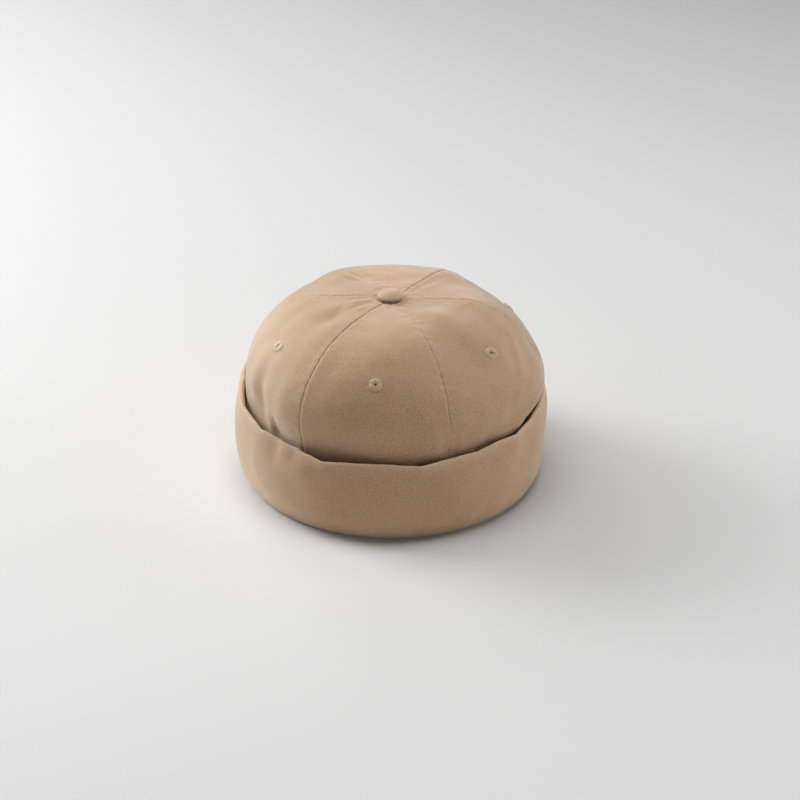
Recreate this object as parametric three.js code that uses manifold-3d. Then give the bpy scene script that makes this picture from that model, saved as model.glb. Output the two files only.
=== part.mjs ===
import * as THREE from "three";
import { mergeVertices } from "three/addons/utils/BufferGeometryUtils.js";
import Module from "manifold-3d";

// Millimetres, with the cap resting on z = 0 and its front towards -Y.
// Angles are degrees round the cap from the front, positive towards +X.
const CLOTH = 1.5;
const GAP = 0.3;
const SAME_POINT = 1e-5;

// Crown: six panels that meet in seams and run down inside the cuff.
const PANEL_COLUMNS = 12;
const PANEL_ROWS_HIDDEN = 3;
const PANEL_ROWS_SEEN = 19;
const HIDDEN_SHARE = 0.27;
const PANEL_PUFF = 0.7;
const PUFF_FADE_TOP = 30;
const PUFF_FADE_FROM = 50;
const PUFF_FADE_TO = 80;
const CROWN_CURVE_STEPS = 600;

// Outer face of the crown along a seam: radius, height.
const CROWN_PROFILE = [
  [92.3, 2.9],
  [92.3, 28],
  [92.3, 50],
  [93.4, 66],
  [93.0, 80],
  [89.2, 91.5],
  [82.6, 101.5],
  [73.5, 109.8],
  [61.5, 116.5],
  [45.0, 120.8],
  [28.0, 122.4],
  [12.0, 122.6],
  [2.6, 122.0],
];

// Dents and swells of the crown:
// angle, cloth length down from the button hole, spread in angle, spread in length, outward shift.
const CROWN_FOLDS = [
  // right seam stands up near the top, and again lower down
  [94, 54, 14, 24, 3.1],
  [96, 104, 18, 16, 2.8],
  // back right panel sinks behind it
  [128, 70, 19, 26, -2.0],
  // back right seam stands up
  [150, 52, 14, 20, 3.2],
  // back swells
  [180, 64, 26, 26, 1.2],
  // left seam stands up a little
  [-94, 56, 13, 24, 0.9],
  // left side leans out against the cuff
  [-67, 138, 24, 24, 4.3],
  // left flank sinks
  [-68, 76, 18, 26, -1.0],
  // back left panel sinks
  [-120, 68, 19, 26, -2.3],
  // hollow beside the left seam
  [-66, 46, 11, 13, -2.0],
  // front draws in behind the cuff's edge
  [6, 137, 42, 15, -3.4],
  // front right panel sinks above its eyelet
  [42, 64, 14, 18, -1.5],
  [55, 74, 18, 20, -1.6],
  // right side slouches over the cuff, lower towards the front
  [60, 134, 7, 6, 3.0],
  [65, 130, 4, 4, 2.6],
  [70, 127, 4.5, 4, 3.2],
  [76, 124.5, 5, 4.2, 2.2],
  [84, 114, 17, 12, 3.4],
  [82, 121.5, 13, 5, 3.4],
  [102, 121, 12, 8, 1.8],
  // upright pleat on the front left panel, with a hollow behind it
  [-37, 110, 10, 24, 2.2],
  [-44, 113, 5, 24, 1.3],
  [-54, 107, 4.8, 22, -1.9],
  // front panel rounds out beside its eyelet
  [-12, 82, 8, 26, 0.8],
];

// Cuff: a doubled band with a short hem turned up inside the crown.
const CUFF_THICKNESS = 2.6;
const CUFF_STEP_ANGLE = 5.6;
const CHORD_SHARE = 0.55;
const CHORD_RISE = 0.25;
const EDGE_RADIUS = 99.6;
const EDGE_FLAT = 1.0;
const INNER_EDGE_DROP = 0.1;
const FOOT_OUTER_RADIUS = 94.6;
const FOOT_INNER_RADIUS = 90.4;
const TROUGH_RADIUS = 95.2;
const HEM_INNER_RADIUS = 89.3;
const HEM_OUTER_RADIUS = 90.5;
const HEM_HEIGHT = 20;
const HEM_LIFT = 1.6;

// Outer face of the cuff: share of its height, radius.
const CUFF_WALL = [
  [0.04, 98.0],
  [0.14, 101.0],
  [0.34, 102.8],
  [0.62, 103.0],
  [0.86, 101.5],
  [0.97, 100.1],
];

// Kinks along the upper edge, straight cloth between them: angle, radius, height.
const CUFF_KINKS = [
  [-67, 101.4, 59.4],
  [-49.6, 100.2, 56.6],
  [-19.6, 100.0, 53.2],
  [17.6, 99.6, 54.8],
  [60, 99.8, 56.8],
  [70, 99.5, 58.6],
  [78, 99.5, 61.8],
  [90, 99.9, 63.2],
  [104, 100.6, 62.0],
  [122, 101.6, 59.6],
  [146, 101.8, 59.2],
  [174, 101.8, 59.6],
  [202, 101.8, 59.6],
  [230, 102.4, 59.8],
  [262, 103.0, 60.0],
];

// Soft creases of the cuff: angle, share of its height, spread in angle, spread in share, outward shift.
const CUFF_CREASES = [
  [-43, 0.74, 7, 0.2, -1.1],
  [-12, 0.8, 8, 0.18, -0.7],
  [66, 0.78, 7, 0.22, -1.1],
  [-84, 0.86, 8, 0.16, -0.8],
  [97, 0.45, 35, 0.38, -1.0],
];

// Top button: a low dome with a plain shank through the middle of the crown.
const BUTTON_SIDES = 18;
const BUTTON_RADIUS = 8.7;
const SHANK_RADIUS = 1.8;
const SHANK_LENGTH = 3.4;
const SEAT_STEP_ANGLE = 5;
const SEAT_STEP_DOWN = 1;
// Dome of the button: radius, height above its seat.
const BUTTON_DOME = [
  [8.0, 0],
  [8.7, 0.9],
  [8.2, 2.3],
  [6.1, 3.8],
  [3.1, 4.7],
];

// Eyelets: stitched rings with a neck through the panel.
const EYELET_SIDES = 12;
const EYELET_HOLE_RADIUS = 2.4;
const EYELET_HOLE_DEPTH = 12;
const SLOPE_STEP_ANGLE = 2;
const SLOPE_STEP_SHARE = 0.02;
// Section of the ring: radius, height above its seat.
const EYELET_SECTION = [
  [2.0, -2.1],
  [2.0, 0],
  [4.2, 0],
  [4.3, 0.5],
  [3.1, 1.0],
  [1.1, 0.8],
  [0.8, 0.2],
  [0.8, -2.1],
];

// Panels in order round the cap: name, angle of its first and second seam,
// angle of its eyelet, cloth length from the button hole to the eyelet.
const PANELS = [
  ["front", -30, 30, 0, 83.8],
  ["front_right", 30, 94, 61.3, 78.2],
  ["back_right", 94, 150, 122, 90],
  ["back", 150, 210, 180, 90],
  ["back_left", 210, 266, 238, 90],
  ["front_left", 266, 330, 301.8, 80.2],
].map(([name, from, to, eyeletAngle, eyeletDown]) => ({ name, from, to, eyeletAngle, eyeletDown }));

const CROWN_CLOTH = { color: 0xc4a887, roughness: 0.9 };
const CUFF_CLOTH = { color: 0xbfa280, roughness: 0.9 };
const BUTTON_CLOTH = { color: 0xb99c7a, roughness: 0.9 };
const EYELET_THREAD = { color: 0xcbb18f, roughness: 0.8 };

const wasm = await Module();
wasm.setup();

function aroundAxis(angle, radius, height) {
  const turn = THREE.MathUtils.degToRad(angle);
  return new THREE.Vector3(radius * Math.sin(turn), -radius * Math.cos(turn), height);
}

function angleBetween(angle, from) {
  return THREE.MathUtils.euclideanModulo(angle - from + 180, 360) - 180;
}

function swell(rows, angle, along) {
  let shift = 0;
  for (const [middle, at, spreadAngle, spreadAlong, out] of rows) {
    const turned = angleBetween(angle, middle) / spreadAngle;
    const moved = (along - at) / spreadAlong;
    shift += out * Math.exp(-turned * turned - moved * moved);
  }
  return shift;
}

const crownCurve = new THREE.CatmullRomCurve3(
  CROWN_PROFILE.map(([radius, height]) => new THREE.Vector3(radius, height, 0)),
  false,
  "catmullrom",
);
crownCurve.arcLengthDivisions = CROWN_CURVE_STEPS;
const crownLength = crownCurve.getLength();

function panelPuff(panel, angle, down) {
  const across = THREE.MathUtils.mapLinear(angle, panel.from, panel.to, -1, 1);
  const belowTop = THREE.MathUtils.smoothstep(down, 0, PUFF_FADE_TOP);
  const aboveCuff = THREE.MathUtils.smoothstep(crownLength - down, PUFF_FADE_FROM, PUFF_FADE_TO);
  return PANEL_PUFF * Math.cos((across * Math.PI) / 2) * belowTop * aboveCuff;
}

// Point of a panel's cloth, with share 0 at the lower edge and 1 at the button hole.
function panelPoint(panel, angle, share, depth) {
  const base = crownCurve.getPointAt(share);
  const along = crownCurve.getTangentAt(share);
  const down = crownLength * (1 - share);
  const out = panelPuff(panel, angle, down) + swell(CROWN_FOLDS, angle, down) - depth;
  return aroundAxis(angle, base.x + out * along.y, base.y - out * along.x);
}

function geometryFrom(points, triangles) {
  const geometry = new THREE.BufferGeometry();
  const flat = points.flatMap((point) => point.toArray());
  geometry.setAttribute("position", new THREE.Float32BufferAttribute(flat, 3));
  geometry.setIndex(triangles.flat());
  return geometry;
}

function toManifold(geometry) {
  const bare = geometry.clone();
  bare.deleteAttribute("normal");
  bare.deleteAttribute("uv");
  const merged = mergeVertices(bare, SAME_POINT);
  const mesh = new wasm.Mesh({
    numProp: 3,
    vertProperties: Float32Array.from(merged.attributes.position.array),
    triVerts: Uint32Array.from(merged.index.array),
  });
  return new wasm.Manifold(mesh);
}

function fromManifold(body) {
  const mesh = body.getMesh();
  const geometry = new THREE.BufferGeometry();
  geometry.setAttribute("position", new THREE.Float32BufferAttribute(mesh.vertProperties, 3));
  geometry.setIndex(Array.from(mesh.triVerts));
  return geometry;
}

function named(name, geometry, finish) {
  geometry.computeVertexNormals();
  const mesh = new THREE.Mesh(geometry, new THREE.MeshStandardMaterial({ metalness: 0, ...finish }));
  mesh.name = name;
  return mesh;
}

// Closed sheet of cloth between an outer and an inner grid of points.
function clothSheet(rows, columns, pointAt) {
  const points = [];
  for (const inner of [false, true]) {
    for (let row = 0; row <= rows; row += 1) {
      for (let column = 0; column <= columns; column += 1) {
        points.push(pointAt(row / rows, column / columns, inner));
      }
    }
  }
  const layer = (rows + 1) * (columns + 1);
  const at = (row, column) => row * (columns + 1) + column;
  const triangles = [];
  for (let row = 0; row < rows; row += 1) {
    for (let column = 0; column < columns; column += 1) {
      const [a, b] = [at(row, column), at(row, column + 1)];
      const [c, d] = [at(row + 1, column + 1), at(row + 1, column)];
      triangles.push([a, b, c], [a, c, d]);
      triangles.push([layer + a, layer + c, layer + b], [layer + a, layer + d, layer + c]);
    }
  }
  const border = [];
  for (let column = 0; column < columns; column += 1) border.push(at(0, column));
  for (let row = 0; row < rows; row += 1) border.push(at(row, columns));
  for (let column = columns; column > 0; column -= 1) border.push(at(rows, column));
  for (let row = rows; row > 0; row -= 1) border.push(at(row, 0));
  border.forEach((here, index) => {
    const next = border[(index + 1) % border.length];
    triangles.push([here, layer + here, next], [next, layer + here, layer + next]);
  });
  return geometryFrom(points, triangles);
}

// Share along the crown for a row, with few rows where the cuff hides the cloth.
function rowShare(part) {
  const row = part * (PANEL_ROWS_HIDDEN + PANEL_ROWS_SEEN);
  if (row < PANEL_ROWS_HIDDEN) return (HIDDEN_SHARE * row) / PANEL_ROWS_HIDDEN;
  return HIDDEN_SHARE + ((1 - HIDDEN_SHARE) * (row - PANEL_ROWS_HIDDEN)) / PANEL_ROWS_SEEN;
}

function panelSheet(panel) {
  return clothSheet(PANEL_ROWS_HIDDEN + PANEL_ROWS_SEEN, PANEL_COLUMNS, (up, across, inner) => {
    const angle = THREE.MathUtils.lerp(panel.from, panel.to, across);
    const point = panelPoint(panel, angle, rowShare(up), inner ? CLOTH : 0);
    const turn = THREE.MathUtils.degToRad(angle);
    const aside = new THREE.Vector3(Math.cos(turn), Math.sin(turn), 0);
    return point.addScaledVector(aside, (0.5 - across) * GAP);
  });
}

// Solid turned round the z axis from a section of radius and height rows.
function turned(section, sides, closedLoop) {
  const points = [];
  for (const [radius, height] of section) {
    for (let side = 0; side < sides; side += 1) points.push(aroundAxis((360 * side) / sides, radius, height));
  }
  const triangles = [];
  const rings = closedLoop ? section.length : section.length - 1;
  for (let ring = 0; ring < rings; ring += 1) {
    const above = ((ring + 1) % section.length) * sides;
    for (let side = 0; side < sides; side += 1) {
      const [a, b] = [ring * sides + side, ring * sides + ((side + 1) % sides)];
      const [c, d] = [above + ((side + 1) % sides), above + side];
      triangles.push([a, b, c], [a, c, d]);
    }
  }
  if (!closedLoop) {
    const last = (section.length - 1) * sides;
    for (let side = 1; side < sides - 1; side += 1) {
      triangles.push([0, side + 1, side], [last, last + side, last + side + 1]);
    }
  }
  return geometryFrom(points, triangles);
}

// Place of a panel's eyelet on its outer face, with the z axis along the cloth's outward normal.
function eyeletSeat(panel) {
  const share = 1 - panel.eyeletDown / crownLength;
  const at = (turn, rise) => panelPoint(panel, panel.eyeletAngle + turn, share + rise, 0);
  const origin = at(0, 0);
  const right = at(SLOPE_STEP_ANGLE, 0).sub(at(-SLOPE_STEP_ANGLE, 0)).normalize();
  const up = at(0, SLOPE_STEP_SHARE).sub(at(0, -SLOPE_STEP_SHARE)).normalize();
  const out = new THREE.Vector3().crossVectors(right, up).normalize();
  const across = new THREE.Vector3().crossVectors(up, out);
  return new THREE.Matrix4().makeBasis(across, up, out).setPosition(origin);
}

// Straight edge between two kinks, in plan, as a radius at the given angle.
function chordRadius(from, to, angle) {
  const before = THREE.MathUtils.degToRad(angle - from.angle);
  const after = THREE.MathUtils.degToRad(to.angle - angle);
  const spread = from.radius * Math.sin(before) + to.radius * Math.sin(after);
  return (from.radius * to.radius * Math.sin(before + after)) / spread;
}

// Section of the cuff at one angle, anticlockwise from the outer edge of its foot.
function cuffSection(angle, edgeRadius, edgeHeight) {
  const wall = CUFF_WALL.map(([share, radius]) => {
    const crease = swell(CUFF_CREASES, angle, share);
    return [radius + (edgeRadius - EDGE_RADIUS) * share * share + crease, edgeHeight * share];
  });
  const [topRadius, topHeight] = wall[wall.length - 1];
  const middle = topRadius - CUFF_THICKNESS / 2;
  const inside = wall.slice(1).map(([radius, height]) => [radius - CUFF_THICKNESS, height]).reverse();
  return [
    [FOOT_OUTER_RADIUS, 0],
    ...wall,
    [middle + EDGE_FLAT / 2, edgeHeight],
    [middle - EDGE_FLAT / 2, edgeHeight],
    [topRadius - CUFF_THICKNESS, topHeight - INNER_EDGE_DROP],
    ...inside.slice(1),
    [TROUGH_RADIUS, CUFF_THICKNESS],
    [HEM_OUTER_RADIUS, CUFF_THICKNESS],
    [HEM_OUTER_RADIUS, HEM_HEIGHT],
    [HEM_INNER_RADIUS, HEM_HEIGHT],
    [HEM_INNER_RADIUS, HEM_LIFT],
    [FOOT_INNER_RADIUS, 0],
  ];
}

function cuffBand() {
  const kinks = CUFF_KINKS.map(([angle, radius, height]) => ({ angle, radius, height }));
  const sections = [];
  kinks.forEach((from, index) => {
    const next = kinks[(index + 1) % kinks.length];
    const to = { ...next, angle: next.angle + (index + 1 === kinks.length ? 360 : 0) };
    const steps = Math.round((to.angle - from.angle) / CUFF_STEP_ANGLE);
    for (let step = 0; step < steps; step += 1) {
      const angle = THREE.MathUtils.lerp(from.angle, to.angle, step / steps);
      const full = THREE.MathUtils.lerp(from.radius, to.radius, step / steps);
      const drawnIn = full - chordRadius(from, to, angle);
      const edgeRadius = full - CHORD_SHARE * drawnIn;
      const edgeHeight = THREE.MathUtils.lerp(from.height, to.height, step / steps) + CHORD_RISE * drawnIn;
      const section = cuffSection(angle, edgeRadius, edgeHeight);
      sections.push(section.map(([radius, height]) => aroundAxis(angle, radius, height)));
    }
  });
  const points = sections.flat();
  const count = sections[0].length;
  const triangles = [];
  for (let turn = 0; turn < sections.length; turn += 1) {
    const [here, there] = [turn * count, ((turn + 1) % sections.length) * count];
    for (let corner = 0; corner < count; corner += 1) {
      const next = (corner + 1) % count;
      triangles.push([here + corner, there + corner, there + next]);
      triangles.push([here + corner, there + next, here + next]);
    }
  }
  return geometryFrom(points, triangles);
}

function buttonSeat() {
  let highest = 0;
  for (const panel of PANELS) {
    for (let angle = panel.from; angle < panel.to; angle += SEAT_STEP_ANGLE) {
      for (let down = 0; down < BUTTON_RADIUS; down += SEAT_STEP_DOWN) {
        highest = Math.max(highest, panelPoint(panel, angle, 1 - down / crownLength, 0).z);
      }
    }
  }
  return highest + GAP;
}

const cap = new THREE.Group();
cap.name = "docker_cap";

for (const panel of PANELS) {
  const seat = eyeletSeat(panel);
  const size = [EYELET_HOLE_RADIUS, EYELET_HOLE_RADIUS, EYELET_HOLE_DEPTH, EYELET_SIDES];
  const drill = new THREE.CylinderGeometry(...size);
  drill.rotateX(Math.PI / 2).applyMatrix4(seat);
  const cloth = toManifold(panelSheet(panel)).subtract(toManifold(drill));
  cap.add(named(`panel_${panel.name}`, fromManifold(cloth), CROWN_CLOTH));
  const ring = turned(EYELET_SECTION, EYELET_SIDES, true);
  ring.translate(0, 0, GAP).applyMatrix4(seat);
  cap.add(named(`eyelet_${panel.name}`, ring, EYELET_THREAD));
}

cap.add(named("cuff", cuffBand(), CUFF_CLOTH));

const buttonSection = [[SHANK_RADIUS, -SHANK_LENGTH], [SHANK_RADIUS, 0], ...BUTTON_DOME];
const button = turned(buttonSection, BUTTON_SIDES, false);
button.translate(0, 0, buttonSeat());
cap.add(named("top_button", button, BUTTON_CLOTH));

export default cap;
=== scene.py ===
"""Docker cap in tan cotton twill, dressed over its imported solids.

Sizes are in metres in the part's own frame: z = 0 is the surface under the cap and its front faces -Y.
Angles are degrees round the cap from the front, positive towards +X.
"""

import logging
import math
from collections.abc import Mapping, Sequence
from dataclasses import dataclass, field, replace
from enum import Enum

import bpy
import numpy as np
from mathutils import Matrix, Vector
from numpy.typing import NDArray


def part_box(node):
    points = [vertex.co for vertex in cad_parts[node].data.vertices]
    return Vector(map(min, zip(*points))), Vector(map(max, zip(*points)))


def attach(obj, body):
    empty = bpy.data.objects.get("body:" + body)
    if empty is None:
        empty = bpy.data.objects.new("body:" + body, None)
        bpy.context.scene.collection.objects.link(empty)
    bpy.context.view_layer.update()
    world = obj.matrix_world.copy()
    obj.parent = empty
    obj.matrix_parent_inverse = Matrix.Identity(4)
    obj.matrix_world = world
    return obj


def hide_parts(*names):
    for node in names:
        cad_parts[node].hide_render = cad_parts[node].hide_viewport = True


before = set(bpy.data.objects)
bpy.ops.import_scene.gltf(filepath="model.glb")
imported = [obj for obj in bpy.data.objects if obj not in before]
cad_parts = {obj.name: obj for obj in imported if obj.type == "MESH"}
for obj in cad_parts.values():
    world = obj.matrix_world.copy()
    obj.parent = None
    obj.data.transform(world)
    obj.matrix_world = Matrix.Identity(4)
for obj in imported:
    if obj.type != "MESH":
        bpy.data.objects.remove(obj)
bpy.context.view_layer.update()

LOG = logging.getLogger("docker_cap")
MM = 0.001
UV_NAME = "cloth"
DENSITY_PLACES = 4001

Array = NDArray[np.float64]
Numbers = NDArray[np.int64]
Colour = tuple[float, float, float, float]
Span = tuple[float, float]
Rows = tuple[tuple[float, ...], ...]
Pair = tuple[Array, Array]
Values = Mapping[str | int, object]
Piece = bpy.types.Object
Material = bpy.types.Material


class Slot(Enum):
    """Material slots of the part's record."""

    CROWN = "crown_twill"
    CUFF = "cuff_twill"
    BUTTON = "button_twill"
    EYELET = "eyelet_thread"


class Mark(Enum):
    """Values kept at each point of a mesh for its material to read."""

    # Paler colour: partly scuffing, partly painted highlight.
    WEAR = "scuff_and_highlight"
    SHADE = "shade"


def spline(rows: Array, where: Array) -> Array:
    """Smooth curve through rows: uniform Catmull-Rom, with the ends carried on straight.

    Args:
        rows: One row of values for each point that the curve passes through.
        where: Places along the curve, from 0 at the first row to 1 at the last.

    Returns:
        The values at each place, with one more axis than where.
    """
    padded = np.vstack([2 * rows[0] - rows[1], rows, 2 * rows[-1] - rows[-2]])
    step = np.clip(where, 0, 1) * (len(rows) - 1)
    low = np.minimum(step.astype(int), len(rows) - 2)
    part = (step - low)[..., None]
    before, start, end, after = (padded[low + k] for k in range(4))
    linear = (end - before) * part
    square = (2 * before - 5 * start + 4 * end - after) * part**2
    cube = (3 * start - before - 3 * end + after) * part**3
    return start + 0.5 * (linear + square + cube)


def smooth(value: Array, low: float, high: float) -> Array:
    """Ease from 0 at low to 1 at high: 3t squared less 2t cubed."""
    part = np.clip((value - low) / (high - low), 0, 1)
    return part * part * (3 - 2 * part)


def around(angle: Array, radius: Array | float, height: Array | float) -> Array:
    """Points at an angle from the front, a distance from the middle and a height."""
    turn = np.radians(angle)
    return np.stack(np.broadcast_arrays(radius * np.sin(turn), -radius * np.cos(turn), height), axis=-1)


def direction(azimuth: float, elevation: float) -> Vector:
    """Unit way out from the cap at an angle from the front and an angle above the floor."""
    turn, rise = math.radians(azimuth), math.radians(elevation)
    return Vector((math.sin(turn) * math.cos(rise), -math.cos(turn) * math.cos(rise), math.sin(rise)))


def turned_from(angle: Array, middle: float) -> Array:
    """Degrees from middle to each angle, the short way round."""
    return (angle - middle + 180) % 360 - 180


@dataclass(frozen=True)
class Bell:
    """Bell curve: a height times e to the minus square of the distance from a middle over a reach."""

    height: float
    middle: float
    reach: float

    def at(self, value: Array) -> Array:
        """Height of the curve at each value."""
        return self.height * np.exp(-(((value - self.middle) / self.reach) ** 2))

    def moved(self, middle: float) -> "Bell":
        """The same bell about another middle."""
        return replace(self, middle=middle)


def spaced(count: int, low: float, high: float, peaks: Sequence[Bell]) -> Array:
    """Places from low to high, close-set round peaks: equal steps of the summed density.

    Args:
        count: Number of places.
        low: First place.
        high: Last place.
        peaks: Density that is added to a density of 1.

    Returns:
        The places in order.
    """
    fine = np.linspace(low, high, DENSITY_PLACES)
    density = 1.0 + sum(peak.at(fine) for peak in peaks)
    total = np.concatenate([[0], np.cumsum((density[1:] + density[:-1]) / 2)])
    return np.interp(np.linspace(0, total[-1], count), total, fine)


@dataclass(frozen=True)
class Ripples:
    """Low random relief: a sum of cosine waves in space with seeded directions, lengths and phases."""

    seed: int
    shortest: float
    longest: float
    height: float
    count: int = 20

    def at(self, points: Array) -> Array:
        """Relief at points.

        Args:
            points: Places in space.

        Returns:
            The relief, mostly between the height below zero and the height above it.
        """
        draw = np.random.default_rng(self.seed)
        facing = draw.normal(size=(self.count, 3))
        facing /= np.linalg.norm(facing, axis=1, keepdims=True)
        spans = np.exp(draw.uniform(np.log(self.shortest), np.log(self.longest), self.count))
        phases = draw.uniform(0, 2 * np.pi, self.count)
        waves = np.cos(2 * np.pi * (points @ facing.T) / spans + phases)
        return waves.sum(axis=-1) * math.sqrt(1 / self.count) * self.height


@dataclass(frozen=True)
class Swell:
    """Broad dent or swell: a bell in angle times a bell along the cloth."""

    angle: float
    along: float
    spread_angle: float
    spread_along: float
    out: float

    def at(self, angle: Array, along: Array) -> Array:
        """Outward shift at each angle and place along the cloth."""
        across = turned_from(angle, self.angle) / self.spread_angle
        return self.out * np.exp(-(across**2) - ((along - self.along) / self.spread_along) ** 2)


@dataclass(frozen=True)
class Crease:
    """Narrow fold: a bell ridge turned on the cloth, with a width, a length and a height."""

    angle: float
    along: float
    turn: float
    width: float
    length: float
    out: float

    def at(self, angle: Array, along: Array, radius: Array) -> Array:
        """Outward shift: the place on the cloth is turned by turn, then falls off both ways.

        Args:
            angle: Angles of the points.
            along: Places along the cloth.
            radius: Distances from the cap's middle.

        Returns:
            The shift.
        """
        aside = np.radians(turned_from(angle, self.angle)) * radius
        down = along - self.along
        lean = math.radians(self.turn)
        across = aside * math.cos(lean) - down * math.sin(lean)
        lengthwise = aside * math.sin(lean) + down * math.cos(lean)
        return self.out * np.exp(-((across / self.width) ** 2) - (lengthwise / self.length) ** 2)


def mesh_object(name: str, points: Array, quads: Numbers, uv: Array, marks: Mapping[Mark, Array]) -> Piece:
    """Object from points and four-sided faces.

    Args:
        name: Name of the piece.
        points: Places of the points, one row each.
        quads: Four point numbers for each face, anticlockwise from outside.
        uv: Place on the cloth in metres for each corner of each face.
        marks: Values at the points for the material.

    Returns:
        The object, linked to the scene and smooth shaded.
    """
    mesh = bpy.data.meshes.new(name)
    mesh.from_pydata(points.reshape(-1, 3).tolist(), [], quads.tolist())
    mesh.uv_layers.new(name=UV_NAME).uv.foreach_set("vector", uv.astype(np.float32).ravel())
    for mark, values in marks.items():
        layer = mesh.attributes.new(mark.value, "FLOAT", "POINT")
        layer.data.foreach_set("value", values.astype(np.float32).ravel())
    mesh.polygons.foreach_set("use_smooth", np.ones(len(quads), dtype=bool))
    mesh.update()
    made = bpy.data.objects.new(name, mesh)
    bpy.context.scene.collection.objects.link(made)
    return made


def grid_quads(rows: int, columns: int) -> Numbers:
    """Point numbers of each face in a grid of points, anticlockwise from its lower left corner."""
    at = np.arange(rows * columns).reshape(rows, columns)
    return np.stack([at[:-1, :-1], at[:-1, 1:], at[1:, 1:], at[1:, :-1]], axis=-1).reshape(-1, 4)


def border_of(corner: Numbers) -> Numbers:
    """Point numbers round a grid, anticlockwise from its lower left corner."""
    return np.concatenate([corner[0, :-1], corner[:-1, -1], corner[-1, :0:-1], corner[:0:-1, 0]])


def closed_sheet(
    name: str,
    outer: Array,
    inner: Array,
    uv: Array,
    marks: Mapping[Mark, Array],
    hole: tuple[slice, slice] | None = None,
) -> Piece:
    """Cloth of some thickness: an outer grid, an inner grid and a strip round each of their borders.

    Args:
        name: Name of the piece.
        outer: Outer grid of points.
        inner: Inner grid, point for point behind the outer one.
        uv: Place on the cloth in metres for each point of either grid.
        marks: Values for each point of the outer grid, used for the inner one too.
        hole: Rows and columns of cells that are left out.

    Returns:
        The closed object.
    """
    rows, columns = outer.shape[:2]
    layer = rows * columns
    corner = np.arange(layer).reshape(rows, columns)
    kept = np.ones((rows - 1, columns - 1), dtype=bool)
    loops = [border_of(corner)]
    if hole is not None:
        kept[hole] = False
        up, across = hole
        loops.append(border_of(corner[up.start : up.stop + 1, across.start : across.stop + 1])[::-1])
    front = grid_quads(rows, columns)[kept.ravel()]
    rims = [np.stack([a, a + layer, np.roll(a, -1) + layer, np.roll(a, -1)], axis=-1) for a in loops]
    quads = np.concatenate([front, front[:, ::-1] + layer, *rims])
    used, numbers = np.unique(quads, return_inverse=True)
    points = np.concatenate([outer.reshape(-1, 3), inner.reshape(-1, 3)])[used]
    both = np.concatenate([uv.reshape(-1, 2)] * 2)
    doubled = {mark: np.concatenate([value.ravel()] * 2)[used] for mark, value in marks.items()}
    return mesh_object(name, points, numbers.reshape(-1, 4), both[quads], doubled)


def closed_band(name: str, points: Array, uv: Array, marks: Mapping[Mark, Array]) -> Piece:
    """Ring of cloth: a grid whose rows and columns both join up with themselves.

    Args:
        name: Name of the piece.
        points: Grid of points, section by column.
        uv: Place on the cloth in metres, with one more row and column than points.
        marks: Values for each point.

    Returns:
        The closed object.
    """
    rows, columns = points.shape[:2]
    wide = grid_quads(rows + 1, columns + 1)
    row, column = np.divmod(wide, columns + 1)
    quads = (row % rows) * columns + column % columns
    return mesh_object(name, points, quads, uv.reshape(-1, 2)[wide], marks)


@dataclass(frozen=True)
class Wire:
    """A shader value: wraps an output socket, and each operator on it adds a Math node."""

    graph: "Graph"
    socket: bpy.types.NodeSocket

    def _math(self, operation: str, *values: "Wire | float") -> "Wire":
        """Math node of one operation on one or two values."""
        return self.graph.out("ShaderNodeMath", {"operation": operation}, dict(enumerate(values)))

    def __add__(self, other: "Wire | float") -> "Wire":
        """Sum."""
        return self._math("ADD", self, other)

    def __sub__(self, other: "Wire | float") -> "Wire":
        """Difference."""
        return self._math("SUBTRACT", self, other)

    def __rsub__(self, other: float) -> "Wire":
        """Difference from a number."""
        return self._math("SUBTRACT", other, self)

    def __mul__(self, other: "Wire | float") -> "Wire":
        """Product."""
        return self._math("MULTIPLY", self, other)

    def __pow__(self, other: float) -> "Wire":
        """Power."""
        return self._math("POWER", self, other)

    __radd__ = __add__
    __rmul__ = __mul__

    def wave(self) -> "Wire":
        """Raised cosine from 0 to 1 with one crest for each whole number."""
        return self._math("COSINE", self * (2 * math.pi)) * 0.5 + 0.5

    def nearest(self) -> "Wire":
        """Nearest whole number."""
        return self._math("FLOOR", self + 0.5)

    def ramp(self, low: float, high: float) -> "Wire":
        """Straight rise from 0 at low to 1 at high, level beyond them."""
        return self.graph.out("ShaderNodeClamp", None, {"Value": (self - low) * (1 / (high - low))})


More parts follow.
